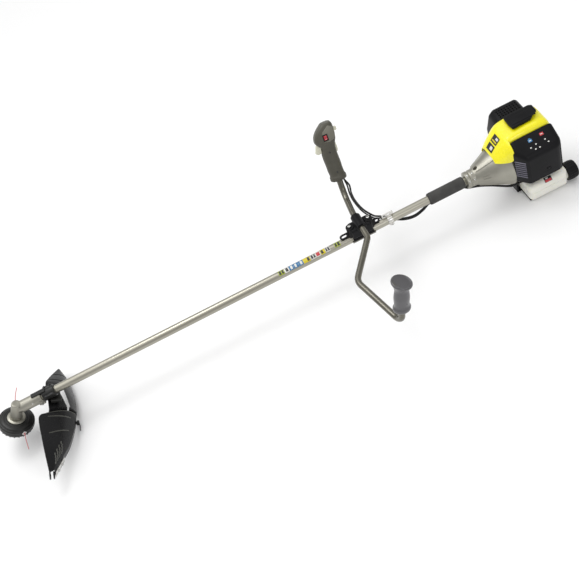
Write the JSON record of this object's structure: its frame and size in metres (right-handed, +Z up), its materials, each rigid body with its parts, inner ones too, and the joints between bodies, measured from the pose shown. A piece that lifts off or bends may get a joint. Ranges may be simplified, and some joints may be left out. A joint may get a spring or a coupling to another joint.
{
  "type": "petrol string trimmer",
  "caption": "Long straight-shaft petrol grass trimmer with an offset bike handle, a bump-feed line head under a curved guard, and a small two-stroke engine at the rear.",
  "frame": {"origin": "on the ground, below the middle of the whole machine's bounding box", "axes": "+X along the shaft from the cutting head to the engine; +Y to the operator's right; +Z up"},
  "size_m": [1.9487, 0.677, 0.4121],
  "materials": {
    "cast_aluminium": "satin cast",
    "bright_steel": "bright",
    "silver_tube": "silver grey, satin",
    "bronze_grey_bar": "bronze grey, satin",
    "grip_grey": "fine grained",
    "soft_grip_grey": "soft, matt",
    "black_moulding": "fine grained",
    "guard_plastic": "semi gloss",
    "foam_grey": "open foam",
    "yellow_moulding": "glossy",
    "ivory_tank": "translucent blow moulding",
    "ivory_button": "satin",
    "red_plastic": "satin",
    "red_nylon_line": "smooth",
    "spool_plastic": "plain",
    "nylon_bush": "plain",
    "clutch_lining": "friction lining",
    "cable_black": "smooth sheath",
    "primer_rubber": "clear red"
  },
  "bodies": {
    "machine": {"gearcase": "cast_aluminium", "guard": "guard_plastic", "guard_skirt": "guard_plastic", "guard_bracket": "black_moulding", "line_cutter": "bright_steel", "shaft_tube": "silver_tube", "shaft_bush_1": "nylon_bush", "shaft_bush_2": "nylon_bush", "clamp_base": "bronze_grey_bar", "clamp_cap": "black_moulding", "handlebar": "bronze_grey_bar", "left_grip": "soft_grip_grey", "throttle_housing": "grip_grey", "throttle_cover": "grip_grey", "throttle_cable": "cable_black", "stop_wire": "cable_black", "harness_hanger": "bright_steel", "foam_sleeve": "foam_grey", "clutch_housing": "cast_aluminium", "crankcase": "cast_aluminium", "crankshaft": "bright_steel", "connecting_rod": "bright_steel", "piston": "cast_aluminium", "flywheel": "cast_aluminium", "cylinder": "cast_aluminium", "spark_plug": "bright_steel", "carburettor": "cast_aluminium", "air_filter_element": "foam_grey", "air_filter_cover": "black_moulding", "muffler": "bright_steel", "muffler_guard": "black_moulding", "engine_cover": "yellow_moulding", "top_cap": "black_moulding", "starter_housing": "black_moulding", "fuel_tank": "ivory_tank", "engine_stand": "black_moulding"},
    "drive_line": {"drive_shaft": "bright_steel", "pinion": "bright_steel", "clutch_drum": "bright_steel"},
    "cutting_head": {"output_gear": "bright_steel", "flange_washer": "bright_steel", "head_housing": "black_moulding", "head_cover": "black_moulding", "nylon_line_1": "red_nylon_line", "nylon_line_2": "red_nylon_line", "head_spring": "bright_steel"},
    "bump_feed": {"spool": "spool_plastic", "bump_knob": "black_moulding"},
    "trigger": {"throttle_trigger": "ivory_button"},
    "carburettor_arm": {"throttle_arm": "cast_aluminium"},
    "lockoff": {"lockoff_lever": "ivory_button"},
    "engine_switch": {"stop_switch": "red_plastic"},
    "start_lock": {"start_lock_button": "ivory_button"},
    "choke": {"choke_lever": "black_moulding"},
    "primer": {"primer_bulb": "primer_rubber"},
    "filler_cap": {"fuel_cap": "black_moulding"},
    "pull_grip": {"starter_grip": "grip_grey"},
    "pulley": {"starter_pulley": "spool_plastic"},
    "shoe_1": {"clutch_shoe_1": "clutch_lining"},
    "shoe_2": {"clutch_shoe_2": "clutch_lining"}
  },
  "joints": [
    {"name": "head_spin", "type": "hinge", "parent": "machine", "child": "cutting_head", "pos_m": [-0.8936, 0.0932, 0.1405], "axis": [0.4939, 0, 0.8695], "continuous": true},
    {"name": "drive_spin", "type": "hinge", "parent": "machine", "child": "drive_line", "pos_m": [-0.3056, 0.0932, 0.1405], "axis": [1, 0, 0], "continuous": true},
    {"name": "bump_press", "type": "slide", "parent": "cutting_head", "child": "bump_feed", "axis": [0.4939, 0, 0.8695], "range_m": [0, 0.004], "stiffness_N_per_m": 2500, "springref_m": -0.004, "deforming": ["head_spring"]},
    {"name": "trigger_pull", "type": "hinge", "parent": "machine", "child": "trigger", "pos_m": [0.3004, 0.30213, 0.35984], "axis": [0, -0.9055, 0.4243], "range_deg": [0, 18], "stiffness_Nm_per_rad": 0.12, "springref_deg": -17.19},
    {"name": "throttle_arm_turn", "type": "hinge", "parent": "machine", "child": "carburettor_arm", "pos_m": [0.8364, 0.0132, 0.1705], "axis": [0, 0, 1], "range_deg": [0, 45]},
    {"name": "lockoff_press", "type": "hinge", "parent": "machine", "child": "lockoff", "pos_m": [0.33369, 0.29796, 0.35095], "axis": [0, 0.9055, -0.4243], "range_deg": [0, 9], "stiffness_Nm_per_rad": 0.08, "springref_deg": -17.19},
    {"name": "stop_switch_rock", "type": "hinge", "parent": "machine", "child": "engine_switch", "pos_m": [0.31643, 0.29034, 0.37829], "axis": [-0.9965, 0.0354, 0.0756], "range_deg": [-8, 8]},
    {"name": "start_lock_press", "type": "slide", "parent": "machine", "child": "start_lock", "axis": [-0.9965, 0.0354, 0.0756], "range_m": [0, 0.003], "stiffness_N_per_m": 400, "springref_m": -0.002},
    {"name": "choke_turn", "type": "hinge", "parent": "machine", "child": "choke", "pos_m": [0.8844, 0.0152, 0.112], "axis": [0, 0, 1], "range_deg": [0, 45]},
    {"name": "primer_press", "type": "slide", "parent": "machine", "child": "primer", "axis": [0, 0, 1], "range_m": [0, 0.004], "stiffness_N_per_m": 500, "springref_m": -0.002},
    {"name": "fuel_cap_turn", "type": "hinge", "parent": "machine", "child": "filler_cap", "pos_m": [0.9544, 0.0332, 0.0345], "axis": [1, 0, 0], "range_deg": [0, 720]},
    {"name": "starter_pull", "type": "slide", "parent": "machine", "child": "pull_grip", "axis": [1, 0, 0], "range_m": [0, 0.6], "stiffness_N_per_m": 20, "springref_m": -0.3},
    {"name": "starter_pulley_turn", "type": "hinge", "parent": "machine", "child": "pulley", "pos_m": [0.9104, 0.0932, 0.1405], "axis": [1, 0, 0], "range_deg": [0, 1400]},
    {"name": "shoe_1_spread", "type": "slide", "parent": "machine", "child": "shoe_1", "axis": [0, 0, 1], "range_m": [0, 0.001], "stiffness_N_per_m": 2500, "springref_m": -0.002},
    {"name": "shoe_2_spread", "type": "slide", "parent": "machine", "child": "shoe_2", "axis": [0, 0, -1], "range_m": [0, 0.001]}
  ],
  "couplings": [
    {"joint": "drive_spin", "follows": "head_spin", "ratio": -1.3333},
    {"joint": "throttle_arm_turn", "follows": "trigger_pull", "ratio": 2.5},
    {"joint": "starter_pulley_turn", "follows": "starter_pull", "rad_per_m": 39.2},
    {"joint": "shoe_2_spread", "follows": "shoe_1_spread", "ratio": 1}
  ]
}
